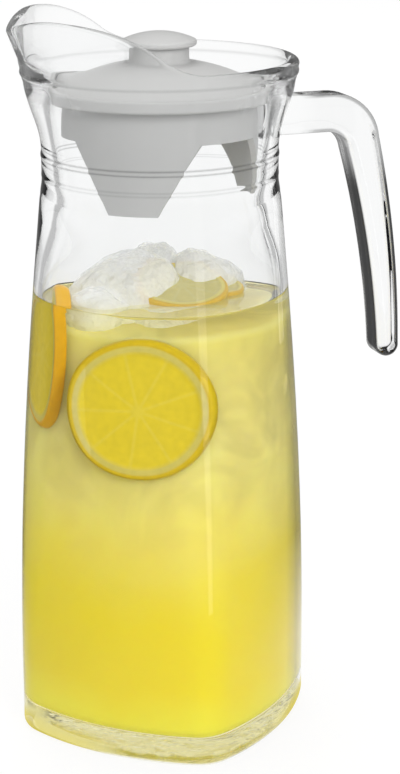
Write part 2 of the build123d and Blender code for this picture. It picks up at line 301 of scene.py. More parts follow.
# The photograph's camera, found from the outlines of the jug
CAMERA_AZIMUTH = -18.157
CAMERA_DISTANCE = 729.769
CAMERA_HEIGHT = 344.546
CAMERA_PITCH = 16.873
CAMERA_YAW = 1.054
CAMERA_ROLL = -0.21
FOCAL_PIXELS = 2152.624
PHOTO_PIXELS = 774
SENSOR = 36

# Studio: level of the sky's light, and the darker upright strips that only the glass and gloss see
SKY_LIGHT = 1.12
SKY_SIDES = 0.45
SKY_COUNT = 2.0
STRIP_TURN = 63.2
STRIP_COUNT = 4.0
STRIP_EDGE = 0.55
STRIP_CORE = 0.85
STRIP_SKY = 0.55
STRIP_FLOOR = 0.45
REFLECTED_LEVEL = 0.12

# Floor, and how far from the jug, in metres, the strips start on it
FLOOR_SIZE = 4000
FLOOR_COLOUR = (0.85, 0.85, 0.85, 1)
FLOOR_WHITE = 0.86
STRIP_START = 0.1
STRIP_FULL = 0.22

# Lamps: name, place, width and height in metres, watts, and whether glass and gloss mirror them
LAMP_AIM_Z = 0.12
LAMPS = (
    ("key_lamp", (-0.8, -2.1, 1.35), 1.0, 1.0, 14, False),
    ("fill_lamp", (0.6, -2.2, 1.25), 1.0, 1.0, 21.5, False),
    ("top_lamp", (-0.2, 0.2, 2.5), 1.2, 1.2, 18, False),
    ("back_lamp", (0.5, 2.2, 1.2), 1.0, 1.0, 8, False),
    ("strip_lamp", (0.0425, -0.1965, 0.14), 0.03, 0.4, 0.05, True),
)

WHITE = (1, 1, 1, 1)
ANGLES = np.arange(AROUND) * 2 * math.pi / AROUND


def linear(red, green, blue):
    """A colour written as it looks on screen, from 0 to 255, as the shader wants it."""
    def channel(value):
        share = value / 255
        return share / 12.92 if share <= 0.04045 else ((share + 0.055) / 1.055) ** 2.4
    return (channel(red), channel(green), channel(blue), 1.0)


def point_colour(red, green, blue):
    """A colour written as it looks on screen, to paint points with."""
    return np.array(linear(red, green, blue)[:3])


RIND = point_colour(232, 202, 10)
# Painted light: a brighter rind for the slice on the shaded left side
LIT_RIND = point_colour(248, 190, 0)
# Duller, less yellow rind for the slices at the top
DULL_RIND = point_colour(224, 186, 58)
PITH = point_colour(228, 215, 124)
FLESH = point_colour(246, 224, 48)
# Duller, paler flesh for the slices at the top
DULL_FLESH = point_colour(214, 203, 128)
MEMBRANE = point_colour(247, 227, 74)

# Slices: name, middle, way it faces, lean, radius, oval, thickness, turn, rind and flesh
SLICES = (
    ("slice_front", (-17.6, -31.2, 126.5), 238, -3, 24.6, 1.035, 5.5, 0.3, RIND, FLESH),
    # This slice takes the brighter rind, painted light for its shaded side
    ("slice_left", (-37, 0.5, 139), 172, -5, 26, 0.5, 5, 0.9, LIT_RIND, FLESH),
    ("slice_top", (6, -4, 162), 262, -70, 16.5, 1, 4, 1.3, DULL_RIND, DULL_FLESH),
    ("slice_back", (20, 1, 160.5), 290, -76, 11, 1, 4, 0.5, DULL_RIND, DULL_FLESH),
)


def smooth_step(share):
    """A share held between 0 and 1 and eased at both ends."""
    share = np.clip(share, 0, 1)
    return share * share * (3 - 2 * share)


def rise(value, start, end):
    """A share that grows from 0 at a start to 1 at an end, which may be the lower of the two."""
    return smooth_step((value - start) / (end - start))


def band(value, limits):
    """A share that grows between the first two of four limits and fades between the last two."""
    return rise(value, *limits[:2]) * (1 - rise(value, *limits[2:]))


def angle_from(direction):
    """How far each angle around the jug is from a direction."""
    return np.abs(np.mod(ANGLES - math.radians(direction) + math.pi, 2 * math.pi) - math.pi)


def mesh_piece(name, points, faces):
    """A smooth mesh object from points in millimetres."""
    mesh = bpy.data.meshes.new(name)
    mesh.from_pydata([tuple(MM * c for c in p) for p in points], [], faces)
    mesh.validate()
    mesh.shade_smooth()
    piece = bpy.data.objects.new(name, mesh)
    bpy.context.scene.collection.objects.link(piece)
    return piece


def skin(rings):
    """Points and faces of a skin over closed rings of equal length, with both ends closed by fans."""
    count = len(rings[0])
    points = [tuple(p) for ring in rings for p in ring]
    faces = []
    for level in range(len(rings) - 1):
        for k in range(count):
            a = level * count + k
            b = level * count + (k + 1) % count
            faces.append((a, b, b + count, a + count))
    points.append(tuple(np.mean(rings[0], axis=0)))
    faces += [(len(points) - 1, (k + 1) % count, k) for k in range(count)]
    last = (len(rings) - 1) * count
    points.append(tuple(np.mean(rings[-1], axis=0)))
    faces += [(len(points) - 1, last + k, last + (k + 1) % count) for k in range(count)]
    return points, faces


def face_outwards(piece):
    """Turns a closed mesh's faces outwards."""
    work = bmesh.new()
    work.from_mesh(piece.data)
    bmesh.ops.recalc_face_normals(work, faces=work.faces)
    work.to_mesh(piece.data)
    work.free()


def closed_piece(name, rings):
    """A closed mesh object over rings, with its faces outwards."""
    piece = mesh_piece(name, *skin(rings))
    face_outwards(piece)
    return piece


def add_layer(piece, name, values):
    """A layer of numbers on a piece, one for each point."""
    layer = piece.data.attributes.new(name, "FLOAT", "POINT")
    layer.data.foreach_set("value", values.astype(np.float32))


def ring_points(radius, height):
    """A ring of points from its radius and height at each angle."""
    radius = np.broadcast_to(radius, ANGLES.shape)
    height = np.broadcast_to(height, ANGLES.shape)
    return np.stack([radius * np.cos(ANGLES), radius * np.sin(ANGLES), height], axis=1)


def square_radius(corner, corner_radius, bulge):
    """Distance from the axis to a rounded square with bowed sides, at each angle."""
    middle = (corner - corner_radius) / math.sqrt(2)
    side_radius = middle**2 / (2 * bulge) + corner_radius + bulge / 2
    side_centre = middle + corner_radius + bulge - side_radius
    sweep = math.atan2(middle, middle - side_centre)
    turn = np.abs(np.mod(ANGLES, math.pi / 2) - math.pi / 4)
    meet = math.atan2(side_radius * math.sin(sweep), side_centre + side_radius * math.cos(sweep))
    side = side_centre * np.cos(turn) + np.sqrt(side_radius**2 - (side_centre * np.sin(turn)) ** 2)
    from_corner = math.pi / 4 - turn
    centre = corner - corner_radius
    under_root = np.maximum(corner_radius**2 - (centre * np.sin(from_corner)) ** 2, 0)
    round_corner = centre * np.cos(from_corner) + np.sqrt(under_root)
    return np.where(turn < meet, side, round_corner)


def body_section(height, inset):
    """Corner, corner radius and bulge of the body's outline at a height, moved inwards."""
    share = min(max(0, (height - BELLY_Z) / (BODY_HEIGHT - BELLY_Z)), BODY_TOP_SHARE)
    corner = CORNER_REACH - (CORNER_REACH - NECK_RADIUS) * share**CORNER_POWER
    corner_radius = CORNER_RADIUS + (NECK_RADIUS - CORNER_RADIUS) * share**ROUNDING_POWER
    bulge = SIDE_BULGE * (1 - share) ** BULGE_POWER
    return corner - inset, corner_radius - inset, bulge


def body_radius(height, inset):
    """Distance of the body's outline from the axis at each angle."""
    return square_radius(*body_section(height, inset))


def neck_radius(height):
    """Outside radius of the neck at a height, with its rings and its ledge."""
    waist = smooth_step((height - BODY_HEIGHT) / WAIST_RUN)
    radius = NECK_RADIUS + (WAIST_RADIUS - NECK_RADIUS) * waist
    radius = radius + (FLARE_TOP_RADIUS - WAIST_RADIUS) * rise(height, FLARE_FOOT_Z, FLARE_TOP_Z)
    for centre, half, step in RINGS:
        radius = radius + step * np.maximum(0, 1 - ((height - centre) / half) ** 2) ** RING_POWER
    ledge = smooth_step((height - FLARE_TOP_Z + LEDGE_START) / LEDGE_RUN)
    radius = radius + (LEDGE_RADIUS - FLARE_TOP_RADIUS) * ledge
    radius = radius + LEDGE_STEP * np.maximum(0, 1 - ((height - LEDGE_Z) / LEDGE_HALF) ** 2)
    return radius + (RIM_RADIUS - LEDGE_RADIUS) * rise(height, LEDGE_END_Z, RIM_Z)


FUNNEL_CURVE = np.polyfit(FUNNEL_Z, FUNNEL_RADII, 3)
FROM_SPOUT = angle_from(SPOUT_DIRECTION)


def beak_radius_at(height, inset, tip_wall):
    """Distance from the axis to the teardrop of the spout, at each angle and its own height."""
    up = np.maximum(height - RIM_Z, 0)
    foot = RIM_RADIUS - inset
    radius = foot + LIP_OUT * up / (LIP_RISE + LIP_TAPER)
    start = foot + BEAK_START
    reach = start + (BEAK_TIP_REACH - tip_wall - start) * up / BEAK_TIP_RISE
    small = BEAK_RADIUS - tip_wall
    centre = reach - small
    side = np.arccos(np.clip((radius - small) / centre, -1, 1))
    meet = np.arctan2(small * np.sin(side), centre + small * np.cos(side))
    tip = centre * np.cos(FROM_SPOUT)
    tip = tip + np.sqrt(np.maximum(small**2 - (centre * np.sin(FROM_SPOUT)) ** 2, 0))
    line = radius / np.cos(FROM_SPOUT - side)
    return np.where(FROM_SPOUT >= side, radius, np.where(FROM_SPOUT >= meet, line, tip))


def lip_height(reach):
    """Height of the lip above a distance along the spout's direction, negative towards its tip."""
    run = LIP_END_X - LIP_TOP_X
    radii = (LIP_RISE**2 + run**2) / (2 * LIP_RISE)
    crest_radius = radii - LIP_FOOT_RADIUS
    turn_x = LIP_END_X - LIP_FOOT_RADIUS * run / radii
    tip_run = LIP_TOP_X + BEAK_TIP_REACH
    tip_drop = LIP_RISE - BEAK_TIP_RISE
    tip_radius = (tip_run**2 + tip_drop**2) / (2 * tip_drop)
    foot = LIP_FOOT_RADIUS - np.sqrt(np.maximum(LIP_FOOT_RADIUS**2 - (LIP_END_X - reach) ** 2, 0))
    crest = LIP_RISE - crest_radius + np.sqrt(np.maximum(crest_radius**2 - (reach - LIP_TOP_X) ** 2, 0))
    tip = LIP_RISE - tip_radius + np.sqrt(np.maximum(tip_radius**2 - (reach - LIP_TOP_X) ** 2, 0))
    up = np.where(reach >= LIP_END_X, 0, np.where(reach >= turn_x, foot, crest))
    return RIM_Z + np.where(reach < LIP_TOP_X, tip, up)


def rim_heights():
    """Height of the top of the rim at each angle, in rounds, as it and the spout's reach need each other."""
    height = np.full(ANGLES.shape, RIM_Z)
    for _ in range(LIP_ROUNDS):
        middle = (beak_radius_at(height, 0, 0) + beak_radius_at(height, RIM_WALL, BEAK_WALL)) / 2
        height = lip_height(-middle * np.cos(FROM_SPOUT))
    return height


RIM_HEIGHTS = rim_heights()


def base_relief(radius, share):
    """Height of the pressed stipple under the base, which fades at its centre and its edge."""
    fade = rise(share, *STIPPLE_START) * smooth_step((STIPPLE_EDGE - share) / STIPPLE_FADE)
    flat = radius / STIPPLE_SIZE
    places = zip(flat * np.cos(ANGLES), flat * np.sin(ANGLES))
    lumps = [noise.noise(Vector((x, y, STIPPLE_PLANE))) for x, y in places]
    return fade * (STIPPLE_LEAST + STIPPLE_LUMP * np.abs(np.array(lumps)))


def rim_height_at(share):
    """Height at each angle, at a share of the way from the ledge to where the rim is rounded."""
    return LEDGE_END_Z + (RIM_HEIGHTS - RIM_ROUND - LEDGE_END_Z) * share


def outer_rings():
    """Rings of the outside of the glass from the centre of the base to the rim."""
    rings = []
    flat = body_radius(0, BASE_EDGE_RADIUS)
    for share in np.linspace(*BASE_SHARES, BASE_RINGS):
        rings.append(ring_points(flat * share, base_relief(flat * share, share)))
    for turn in np.radians(np.arange(0, 91, ARC_STEP)):
        inset = BASE_EDGE_RADIUS * (1 - math.sin(turn))
        rings.append(ring_points(body_radius(0, inset), BASE_EDGE_RADIUS * (1 - math.cos(turn))))
    for height in np.arange(BODY_MESH_Z, BODY_HEIGHT, BODY_MESH):
        rings.append(ring_points(body_radius(height, 0), height))
    heights = [
        np.arange(BODY_HEIGHT, RING_MESH_Z, NECK_MESH),
        np.arange(RING_MESH_Z, FLARE_FOOT_Z, RING_MESH),
        np.arange(FLARE_FOOT_Z, LEDGE_MESH_Z, FLARE_MESH),
        np.arange(LEDGE_MESH_Z, LEDGE_END_Z, LEDGE_MESH),
    ]
    for height in np.concatenate(heights):
        rings.append(ring_points(neck_radius(height), height))
    for share in np.linspace(0, 1, RIM_RINGS):
        height = rim_height_at(share)
        low = neck_radius(np.minimum(height, RIM_Z))
        high = beak_radius_at(height, 0, 0)
        rings.append(ring_points(np.where(height < RIM_Z, low, high), height))
    return rings


def hollow_radius(height):
    """Distance from the axis to the wall of the hollow at each angle."""
    if height <= SHOULDER_Z:
        return body_radius(height, WALL)
    left = 1 - ((height - SHOULDER_Z) / (THROAT_Z - SHOULDER_Z)) ** SHOULDER_POWER
    left = max((1 + SHOULDER_EASE) * left**2 / (left + SHOULDER_EASE), SHOULDER_LEAST)
    corner, corner_radius, bulge = body_section(SHOULDER_Z, WALL)
    corner = THROAT_RADIUS + (corner - THROAT_RADIUS) * left
    corner_radius = THROAT_RADIUS + (corner_radius - THROAT_RADIUS) * left
    return square_radius(corner, corner_radius, bulge * left)


def hollow_rings(grow, top):
    """Rings of the hollow of the body from a height down to the floor, grown by an amount at each height."""
    rings = []
    for height in np.arange(top, FLOOR_Z + FLOOR_EDGE_RADIUS, -HOLLOW_MESH):
        rings.append(ring_points(hollow_radius(height) + grow(height), height))
    for step in range(FLOOR_EDGE_STEPS + 1):
        turn = math.radians(90 - 90 / FLOOR_EDGE_STEPS * step)
        inset = WALL + FLOOR_EDGE_RADIUS * (1 - math.sin(turn))
        height = FLOOR_Z + FLOOR_EDGE_RADIUS * (1 - math.cos(turn))
        radius = body_radius(FLOOR_Z, inset) + grow(height) * math.sin(turn)
        rings.append(ring_points(radius, height - grow(height) * math.cos(turn)))
    flat = body_radius(FLOOR_Z, WALL + FLOOR_EDGE_RADIUS)
    for share in FLOOR_SHARES:
        rings.append(ring_points(flat * share, FLOOR_Z - grow(FLOOR_Z)))
    return rings


def inner_rings():
    """Rings of the inside of the glass from the rim down to the centre of the floor."""
    rings = []
    for share in np.linspace(1, 0, RIM_RINGS):
        height = rim_height_at(share)
        low = np.polyval(FUNNEL_CURVE, np.minimum(height, RIM_Z))
        high = beak_radius_at(height, RIM_WALL, BEAK_WALL)
        rings.append(ring_points(np.where(height < RIM_Z, low, high), height))
    for height in np.arange(LEDGE_END_Z - FLARE_MESH, THROAT_Z, -FUNNEL_MESH):
        rings.append(ring_points(np.polyval(FUNNEL_CURVE, height), height))
    return rings + hollow_rings(lambda height: 0, THROAT_Z)


def rim_rings(outer, inner):
    """Rings that round the rim from its outer to its inner side."""
    reach_out = np.hypot(outer[:, 0], outer[:, 1])
    reach_in = np.hypot(inner[:, 0], inner[:, 1])
    middle = (reach_out + reach_in) / 2
    half = (reach_out - reach_in) / 2
    rings = []
    for turn in np.radians(np.arange(ARC_STEP, 180, ARC_STEP)):
        height = RIM_HEIGHTS - RIM_ROUND + RIM_ROUND * math.sin(turn)
        rings.append(ring_points(middle + half * math.cos(turn), height))
    return rings


def arc_points(start, corner, end, radius, steps):
    """Points of a rounded corner between two straight runs."""
    start, corner, end = (np.array(p, float) for p in (start, corner, end))
    into = (start - corner) / np.linalg.norm(start - corner)
    out = (end - corner) / np.linalg.norm(end - corner)
    half = math.acos(np.clip(into @ out, -1, 1)) / 2
    first = corner + into * radius / math.tan(half)
    centre = corner + (into + out) / np.linalg.norm(into + out) * radius / math.sin(half)
    begin = first - centre
    sweep = math.pi - 2 * half
    points = []
    for step in range(steps + 1):
        turn = -sweep * step / steps
        cos, sin = math.cos(turn), math.sin(turn)
        points.append(centre + np.array([cos * begin[0] - sin * begin[1], sin * begin[0] + cos * begin[1]]))
    return points


def bowed(start, end, bow, steps):
    """Points of a run that bows outwards, after its first point."""
    start, end = np.array(start, float), np.array(end, float)
    along = end - start
    normal = np.array([-along[1], along[0]]) / np.linalg.norm(along)
    shares = np.linspace(0, 1, steps + 1)[1:]
    return [start + along * s + normal * bow * 4 * s * (1 - s) for s in shares]


def rounded_ring(centre, direction, half_depth, half_width, radius):
    """A ring in the shape of a rounded rectangle, across the handle."""
    ring = []
    for quarter, (u, v) in enumerate(((1, 1), (-1, 1), (-1, -1), (1, -1))):
        for turn in np.radians(90 * quarter + np.arange(0, 91, ARC_STEP)):
            depth = u * (half_depth - radius) + radius * math.cos(turn)
            width = v * (half_width - radius) + radius * math.sin(turn)
            ring.append((centre[0] + direction[0] * depth, width, centre[1] + direction[1] * depth))
    return np.array(ring)


def handle_rings():
    """Rings of the hook handle from its root in the neck to its free end."""
    sides = []
    for corner_x, arm_z, radius, end_x in (
        (OUTER_CORNER_X, ARM_TOP_Z, ELBOW_OUTER_RADIUS, LEG_END_X + LEG_DEPTH / 2),
        (INNER_CORNER_X, ARM_FOOT_Z, ELBOW_INNER_RADIUS, LEG_END_X - LEG_DEPTH / 2),
    ):
        root = np.array([ARM_ROOT_X, arm_z])
        elbow = arc_points(root, (corner_x, arm_z), (end_x, LEG_END_Z), radius, ELBOW_STEPS)
        arm = [root + (elbow[0] - root) * s for s in np.linspace(0, 1, ARM_STEPS + 1)[:-1]]
        sides.append(arm + elbow + bowed(elbow[-1], (end_x, LEG_END_Z), LEG_BOW, LEG_STEPS))
    stations = [(o, i, 1.0) for o, i in zip(*sides)]
    last_out, last_in = sides[0][-1], sides[1][-1]
    middle = (last_out + last_in) / 2
    across = (last_out - last_in) / 2
    down = np.array([across[1], -across[0]])
    for step in range(1, END_STEPS + 1):
        turn = math.radians(90 * step / END_STEPS_TO_CLOSE)
        shift = middle + down * math.sin(turn)
        stations.append((shift + across * math.cos(turn), shift - across * math.cos(turn), math.cos(turn)))
    rings = []
    for outer, inner, share in stations:
        half_depth = np.linalg.norm(outer - inner) / 2
        half_width = HANDLE_WIDTH / 2 - HANDLE_EDGE_RADIUS * (1 - share)
        radius = min(HANDLE_EDGE_RADIUS, half_depth * HANDLE_EDGE_LIMIT)
        centre = (outer + inner) / 2
        direction = (outer - inner) / (2 * half_depth)
        rings.append(rounded_ring(centre, direction, half_depth, half_width, radius))
    return rings


def join(target, other):
    """Joins another closed mesh to a target, and removes the other."""
    modifier = target.modifiers.new("union", "BOOLEAN")
    modifier.operation = "UNION"
    modifier.solver = "MANIFOLD"
    modifier.object = other
    graph = bpy.context.evaluated_depsgraph_get()
    mesh = bpy.data.meshes.new_from_object(target.evaluated_get(graph))
    target.modifiers.clear()
    target.data = mesh
    bpy.data.objects.remove(other)


def fill(tree, node, inputs):
    """Sets a node's inputs, by name or number, to plain values, or links them to other nodes' outputs."""
    for key, value in inputs.items():
        if isinstance(value, bpy.types.NodeSocket):
            tree.links.new(value, node.inputs[key])
        else:
            node.inputs[key].default_value = value


def filled(tree, kind, inputs):
    """The outputs of a new node of a kind, with its inputs filled."""
    node = tree.nodes.new(kind)
    fill(tree, node, inputs)
    return node.outputs


def math_node(tree, operation, *values):
    """The result of a sum, a product or the like of plain values or other nodes' outputs."""
    node = tree.nodes.new("ShaderNodeMath")
    node.operation = operation
    fill(tree, node, dict(enumerate(values)))
    return node.outputs["Value"]


def mixed(tree, factor, first, second, blend="MIX"):
    """A colour between two others, or two colours blended in another way."""
    node = tree.nodes.new("ShaderNodeMix")
    node.data_type = "RGBA"
    node.blend_type = blend
    fill(tree, node, {"Factor": factor, "A": first, "B": second})
    return node.outputs["Result"]


def ranged(tree, value, low, high, to_low=0.0, to_high=1.0, shape="LINEAR"):
    """A value carried from one range to another, and held at the ends of it."""
    node = tree.nodes.new("ShaderNodeMapRange")
    node.interpolation_type = shape
    fill(tree, node, {"Value": value, "From Min": low, "From Max": high, "To Min": to_low, "To Max": to_high})
    return node.outputs["Result"]


def ramped(tree, value, stops):
    """A colour for a value from stops, each with its place and its colour."""
    node = tree.nodes.new("ShaderNodeValToRGB")
    fill(tree, node, {"Fac": value})
    elements = node.color_ramp.elements
    while len(elements) < len(stops):
        elements.new(1.0)
    for element, (position, colour) in zip(elements, stops):
        element.position = position
        element.color = colour
    return node.outputs["Color"]


def grey_stops(stops):
    """Stops with a level of grey, as stops with a colour."""
    return [(position, (level, level, level, 1)) for position, level in stops]


def layer_of(tree, name, output="Fac"):
    """A layer of the mesh, as a number or a colour."""
    node = tree.nodes.new("ShaderNodeAttribute")
    node.attribute_name = name
    return node.outputs[output]


def place_of(tree, kind="Object"):
    """The place on a piece, in metres, or the direction in the sky."""
    return tree.nodes.new("ShaderNodeTexCoord").outputs[kind]


def rays_of(tree):
    """What kind of ray of light is being followed."""
    return tree.nodes.new("ShaderNodeLightPath").outputs


def speckle(tree, scale, detail=2.0, distortion=0.0):
    """Noise that is fixed to the piece."""
    inputs = {"Vector": place_of(tree), "Scale": scale, "Detail": detail, "Distortion": distortion}
    return filled(tree, "ShaderNodeTexNoise", inputs)["Fac"]


def bumped(tree, height, strength, distance):
    """The way a surface faces, once a height has roughened it."""
    inputs = {"Height": height, "Strength": strength, "Distance": distance}
    return filled(tree, "ShaderNodeBump", inputs)["Normal"]


def blended(tree, factor, first, second):
    """A surface between two others."""
    return filled(tree, "ShaderNodeMixShader", {"Fac": factor, 1: first, 2: second})["Shader"]


def matt_surface(tree, inputs):
    """A surface that light doesn't pass through, unless its inputs say so."""
    return filled(tree, "ShaderNodeBsdfPrincipled", inputs)["BSDF"]


def clear_surface(tree, inputs):
    """A clear surface that lets lamps through."""
    clear = matt_surface(tree, {"Roughness": 0.0, "Transmission Weight": 1.0, **inputs})
    passing = filled(tree, "ShaderNodeBsdfTransparent", {})["BSDF"]
    return blended(tree, rays_of(tree)["Is Shadow Ray"], clear, passing)


def new_material(name):
    """A new material, and its node tree, emptied."""
    material = bpy.data.materials.new(name)
    material.use_nodes = True
    material.node_tree.nodes.clear()
    return material, material.node_tree


def put_out(tree, surface):
    """Makes a surface what a material shows."""
    filled(tree, "ShaderNodeOutputMaterial", {"Surface": surface})


def glass_material():
    """Clear pressed glass, with painted shade where its edges turn away and along its ring lines, a painted
    yellow drink glow in its base, and easier to pass at the rim and base.
    """
    material, tree = new_material("clear_glass")
    facing = filled(tree, "ShaderNodeLayerWeight", {"Blend": 0.5})["Facing"]
    # Painted shade: near black where the handle's leg and the rim turn away
    edge = ramped(tree, facing, grey_stops(EDGE_STOPS))
    edge = math_node(tree, "MULTIPLY", edge, layer_of(tree, "edge"))
    # Painted shade: grey outlines where the body and neck turn away
    brink = ramped(tree, facing, grey_stops(BRINK_STOPS))
    brink = math_node(tree, "MULTIPLY", brink, layer_of(tree, "brink"))
    colour = mixed(tree, edge, GLASS_TINT, PAINTED_EDGE_SHADE)
    # Painted shade: dark lines along the rings and the ledge
    colour = mixed(tree, layer_of(tree, "line"), colour, PAINTED_LINE_SHADE)
    colour = mixed(tree, brink, colour, PAINTED_BRINK_SHADE)
    clear = clear_surface(tree, {"Base Color": colour, "IOR": layer_of(tree, "bend")})
    ease = layer_of(tree, "ease")
    painted_drink_glow = layer_of(tree, "painted_drink_glow")
    # Painted drink glow: the light let through the base is tinted yellow
    tint = mixed(tree, math_node(tree, "GREATER_THAN", ease, LEAST_EASE), STIPPLE_DRINK_GLOW, EASE_TINT)
    tint = mixed(tree, painted_drink_glow, tint, DRINK_GLOW_COLOUR)
    through = filled(tree, "ShaderNodeBsdfTransparent", {"Color": tint})["BSDF"]
    patches = ranged(tree, speckle(tree, MOTTLE_SCALE), *MOTTLE_RANGE)
    frost = math_node(tree, "MULTIPLY", layer_of(tree, "frost"), patches)
    passing = math_node(tree, "MAXIMUM", frost, math_node(tree, "MAXIMUM", ease, painted_drink_glow))
    put_out(tree, blended(tree, passing, clear, through))
    return material


def ring_lines(height, reach):
    """Where painted shade draws a thin dark line in the glass, on the flanks of the neck's rings and of the
    ledge under the rim.
    """
    lines = np.zeros(height.shape)
    on_waist = (reach > WAIST_RADIUS - LINE_INSIDE) * (reach < WAIST_RADIUS + RING_LINE_OUTSIDE)
    for centre, half, step in RINGS:
        flank = np.exp(-(((np.abs(height - centre) - RING_FLANK * half) / RING_LINE) ** 2))
        lines = np.maximum(lines, RING_LINE_LEVEL * step * flank * on_waist)
    ledge = np.exp(-(((height - LEDGE_Z) / LEDGE_LINE) ** 2))
    on_ledge = (reach > LEDGE_RADIUS - LINE_INSIDE) * (reach < RIM_RADIUS + LEDGE_LINE_OUTSIDE)
    return np.maximum(lines, LEDGE_LINE_LEVEL * ledge * on_ledge)


def wet_wall(heights, reach, column):
    """Which points of the glass the drink wets: there, light goes from glass to drink and not to air."""
    wet = np.zeros(heights.shape, bool)
    levels = np.round(heights, 2)
    for height in np.unique(levels):
        if WET_FOOT_Z < height < DRINK_Z + WET_RISE:
            wet |= (levels == height) & (reach < body_radius(height, WALL / 2)[column])
    return wet


def glass_layers(places):
    """Layers of the glass at its points: where painted shade darkens it, how it bends light, what it lets
    through, and where a painted drink glow tints it.
    """
    x, y, z = places.T
    reach = np.hypot(x, y)
    column = np.mod(np.round(np.arctan2(y, x) / (2 * math.pi) * AROUND), AROUND).astype(int)
    on_handle = rise(x, *HANDLE_X)
    # Where painted shade darkens the handle's leg and the rim
    on_leg = on_handle * (LEG_EDGE + (1 - LEG_EDGE) * rise(z, *LEG_EDGE_Z))
    on_rim = rise(z - RIM_HEIGHTS[column], *RIM_EDGE_BAND) * (reach < RIM_EDGE_REACH)
    wet = wet_wall(z, reach, column)
    bend = GLASS_BEND - NECK_UNBEND * rise(z, *NECK_UNBEND_Z) - RIM_UNBEND * rise(z, *RIM_UNBEND_Z)
    bend = np.where(wet, GLASS_BEND / DRINK_BEND, bend)
    # Where painted shade outlines the body and the neck
    on_body = band(z, BODY_BRINK_Z) * (1 - wet)
    outside = reach > WAIST_RADIUS - NECK_BRINK_INSIDE
    on_neck = NECK_BRINK * band(z, NECK_BRINK_Z) * outside * (1 - on_handle)
    under = reach / body_radius(0, BASE_EDGE_RADIUS)[column]
    aside = rise(np.abs(x) / np.maximum(reach, 1), *ASIDE)
    stippled = np.maximum(smooth_step((STIPPLE_EDGE - under) / STIPPLE_FADE), aside)
    return {
        # The edge, line and brink layers paint shade on the glass; the base's yellow layer paints the drink's
        # glow
        "edge": np.maximum(on_leg, RIM_EDGE * on_rim),
        "line": ring_lines(z, reach),
        "bend": bend + (GLASS_BEND - bend) * on_handle,
        "brink": np.maximum(on_body, on_neck),
        "frost": BASE_FROST * (z < BASE_FROST_TOP_Z) * stippled,
        "painted_drink_glow": BASE_DRINK_GLOW * aside * rise(under, *BASE_DRINK_GLOW_SHARE) * rise(z, *BASE_DRINK_GLOW_Z),
        "ease": RIM_EASE * rise(z, *RIM_EASE_Z) * (1 - on_handle),
    }


def make_glass():
    """The jug with its handle, as one piece of glass."""
    outer = outer_rings()
    inner = inner_rings()
    glass = closed_piece("glass_jug", outer + rim_rings(outer[-1], inner[0]) + inner)
    join(glass, closed_piece("handle_root", handle_rings()))
    glass.data.shade_smooth()
    places = np.array([v.co for v in glass.data.vertices]) / MM
    for name, values in glass_layers(places).items():
        add_layer(glass, name, values)
    glass.data.materials.clear()
    glass.data.materials.append(glass_material())
    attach(glass, "jug")
    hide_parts("jug_body", "jug_handle")


def lid_material():
    """Pale satin plastic with a faint moulded grain."""
    material, tree = new_material("lid_plastic")
    grain = bumped(tree, speckle(tree, LID_GRAIN_SCALE), *LID_GRAIN)
    inputs = {"Base Color": linear(*LID_COLOUR), "Roughness": LID_ROUGHNESS, "Normal": grain}
    put_out(tree, matt_surface(tree, inputs))
    return material


def make_lid():
    """The lid keeps its solids and takes its plastic."""
    plastic = lid_material()
    for name in ("lid_collar", "lid_stopper", "knob_cap"):
        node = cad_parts[name]
        node.data.materials.clear()
        node.data.materials.append(plastic)


def drink_material():
    """Clear drink: its surface bends light, and its wall leaves that to the glass."""
    material, tree = new_material("clear_drink")
    put_out(tree, clear_surface(tree, {"Base Color": linear(*DRINK_COLOUR), "IOR": layer_of(tree, "bend")}))
    return material


def cloud_material():
    """Cloudy lemon drink: pale at the top, a full yellow below."""
    material, tree = new_material("cloudy_drink")
    height = filled(tree, "ShaderNodeSeparateXYZ", {"Vector": place_of(tree)})["Z"]
    lifted = math_node(tree, "MULTIPLY_ADD", speckle(tree, *CLOUD_SWIRL), CLOUD_LIFT, height)
    level = ranged(tree, lifted, FLOOR_Z * MM, (DRINK_Z + CLOUD_OVER) * MM)
    colour = ramped(tree, level, [(position, linear(*shown)) for position, shown in CLOUD_STOPS])
    shapes = ranged(tree, speckle(tree, *CLOUD_SHAPES), *CLOUD_SHAPES_RANGE)
    upper = ranged(tree, height, CLOUD_SHAPES_Z[0] * MM, CLOUD_SHAPES_Z[1] * MM)
    inputs = {
        "Base Color": mixed(tree, upper, colour, shapes, "MULTIPLY"),
        "Roughness": 0.7,
        "Specular IOR Level": 0.1,
        "Subsurface Weight": 0.8,
        "Subsurface Radius": (1.0, 0.9, 0.4),
        "Subsurface Scale": 0.02,
    }
    put_out(tree, matt_surface(tree, inputs))
    return material


def cloud_gap(height):
    """How far the cloudy part of the drink stays from the glass at a height, as a negative growth."""
    apart = angle_from(CLOUD_GAP_DIRECTION)
    facing = rise(apart, *np.radians(CLOUD_GAP_WIDTH))
    open_side = CLOUD_GAP_LEAST + (1 - CLOUD_GAP_LEAST) * facing
    return -CLOUD_GAP_LOW - (CLOUD_GAP_HIGH - CLOUD_GAP_LOW) * open_side * rise(height, *CLOUD_GAP_Z)


